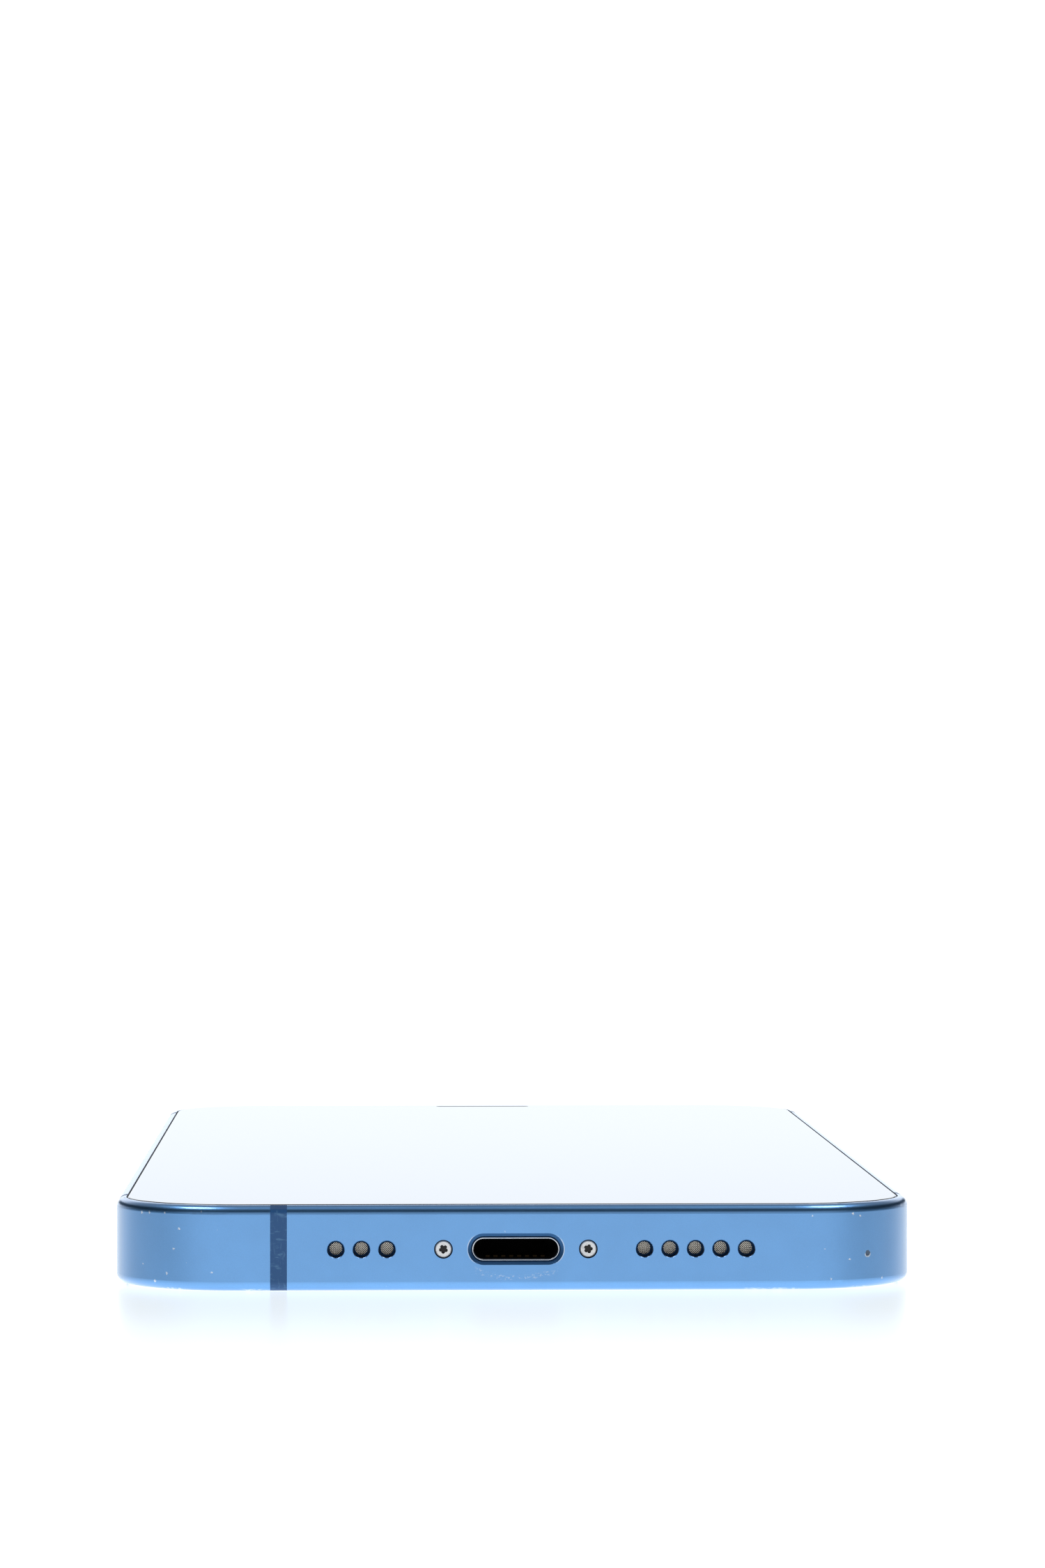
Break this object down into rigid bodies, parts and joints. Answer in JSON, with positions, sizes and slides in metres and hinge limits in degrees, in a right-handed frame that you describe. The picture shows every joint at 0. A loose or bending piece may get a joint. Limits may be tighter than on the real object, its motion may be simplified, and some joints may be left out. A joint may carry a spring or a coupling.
{
  "type": "smartphone",
  "caption": "Flat-sided smartphone with metal band, front and back glass, raised rear camera bump, charging port, sound holes, side buttons and card tray.",
  "frame": {"origin": "middle of the back glass's outer face, on the plane that the phone's back makes apart from its camera bump", "axes": "+X to the right as a person reads the display, +Y along the phone towards its top edge, +Z out of the display"},
  "size_m": [0.0724, 0.1466, 0.0092],
  "materials": {
    "frame_aluminium": "satin anodised, blue",
    "antenna_plastic": "matte, dark navy",
    "back_glass": "glossy, blue, opaque from behind",
    "display_glass": "glossy, black behind clear glass",
    "clear_glass": "clear",
    "lens_ring_metal": "polished blue anodised",
    "black_plastic": "matte black",
    "lens_glass": "coated lens",
    "steel": "brushed",
    "polished_steel": "polished",
    "copper": "enamelled copper turns",
    "ferrite": "matt ferrite sheet",
    "magnet": "nickel plated",
    "rubber": "matte black",
    "panel": "glossy dark panel",
    "board": "solder mask, dark green",
    "chip": "black epoxy",
    "gold": "gold plated",
    "woven_mesh": "woven wire mesh",
    "battery": "black pouch film",
    "orange_mark": "orange",
    "tungsten": "sintered heavy metal",
    "card": "white plastic card"
  },
  "bodies": {
    "phone": {"chassis": "frame_aluminium", "bottom_band": "frame_aluminium", "bottom_corner_band": "frame_aluminium", "top_band": "frame_aluminium", "top_corner_band": "frame_aluminium", "bottom_antenna_insert": "antenna_plastic", "top_antenna_insert": "antenna_plastic", "back_glass": "back_glass", "lens_rings": "lens_ring_metal", "lens_covers": "clear_glass", "flash_window": "clear_glass", "camera_housings": "steel", "ultrawide_lens_barrel": "black_plastic", "ultrawide_front_lens": "lens_glass", "camera_bracket": "steel", "flash_module": "card", "charging_coil": "copper", "ferrite_sheet": "ferrite", "magnet_ring": "magnet", "front_glass": "display_glass", "display_gasket": "rubber", "display_panel": "panel", "display_shield": "steel", "display_frame": "black_plastic", "earpiece_speaker": "black_plastic", "front_camera": "black_plastic", "face_sensors": "black_plastic", "sensor_bracket": "steel", "acoustic_meshes": "woven_mesh", "bottom_microphone": "steel", "loudspeaker": "black_plastic", "loudspeaker_driver": "steel", "port_shell": "polished_steel", "port_contacts": "gold", "port_housing": "black_plastic", "charge_flex": "board", "bottom_screws": "polished_steel", "button_switches": "black_plastic", "ring_switch_base": "black_plastic", "silent_mark": "orange_mark", "sim_reader": "steel", "logic_board": "board", "board_shields": "steel", "board_chips": "chip", "connector_covers": "steel", "board_screws": "steel", "battery": "battery", "haptic_case": "steel", "haptic_springs": "steel"},
    "volume_up": {"volume_up_button": "frame_aluminium"},
    "volume_down": {"volume_down_button": "frame_aluminium"},
    "side_key": {"side_button": "frame_aluminium"},
    "ring_lever": {"ring_switch": "frame_aluminium"},
    "card_tray": {"sim_tray": "frame_aluminium", "sim_card": "card", "tray_seal": "rubber"},
    "ejector": {"eject_rod": "steel"},
    "focus_barrel": {"wide_lens_barrel": "black_plastic", "wide_front_lens": "lens_glass"},
    "vibrator": {"haptic_mass": "tungsten"}
  },
  "joints": [
    {"name": "volume_up_press", "type": "slide", "parent": "phone", "child": "volume_up", "axis": [1, 0, 0], "range_m": [0, 0.00025], "stiffness_N_per_m": 2000},
    {"name": "volume_down_press", "type": "slide", "parent": "phone", "child": "volume_down", "axis": [1, 0, 0], "range_m": [0, 0.00025], "stiffness_N_per_m": 2000},
    {"name": "side_button_press", "type": "slide", "parent": "phone", "child": "side_key", "axis": [-1, 0, 0], "range_m": [0, 0.00025], "stiffness_N_per_m": 2000},
    {"name": "ring_switch_slide", "type": "slide", "parent": "phone", "child": "ring_lever", "axis": [0, 0, 1], "range_m": [-0.0011, 0]},
    {"name": "sim_tray_eject", "type": "slide", "parent": "phone", "child": "card_tray", "axis": [-1, 0, 0], "range_m": [0, 0.016]},
    {"name": "eject_rod_push", "type": "slide", "parent": "phone", "child": "ejector", "axis": [1, 0, 0], "range_m": [0, 0.002]},
    {"name": "wide_lens_focus", "type": "slide", "parent": "phone", "child": "focus_barrel", "axis": [0, 0, -1], "range_m": [0, 0.0003], "stiffness_N_per_m": 400},
    {"name": "haptic_mass_slide", "type": "slide", "parent": "phone", "child": "vibrator", "axis": [1, 0, 0], "range_m": [-0.0004, 0.0004], "stiffness_N_per_m": 2000}
  ]
}
